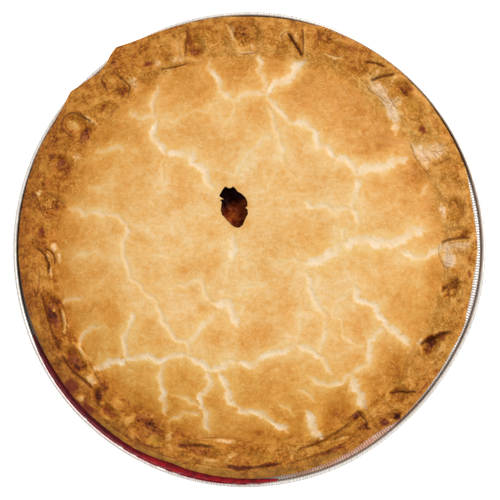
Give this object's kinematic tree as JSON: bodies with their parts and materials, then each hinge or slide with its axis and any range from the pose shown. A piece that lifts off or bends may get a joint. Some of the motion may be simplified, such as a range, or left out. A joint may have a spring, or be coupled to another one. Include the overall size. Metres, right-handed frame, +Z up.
{
  "type": "fruit pie in a foil tin",
  "caption": "Round double-crust fruit pie with a domed, cracked lid, thumb-pressed rim and steam vent, in a fluted foil tin.",
  "frame": {"origin": "middle of the tin's foot, on the surface that the pie stands on", "axes": "+Z up through the lid, +Y towards the edge nearest the steam vent, +X to the right of that"},
  "size_m": [0.23, 0.2313, 0.0394],
  "materials": {
    "foil": "bright rolled foil",
    "crust": "matt golden baked pastry, pale cream in the cracks and brown on the rim",
    "filling": "wet dark red-brown fruit",
    "juice": "glossy dark red syrup"
  },
  "bodies": {
    "root": {"foil_tin": "foil", "pie_crust": "crust", "fruit_filling": "filling", "leaked_juice": "juice"}
  },
  "joints": []
}
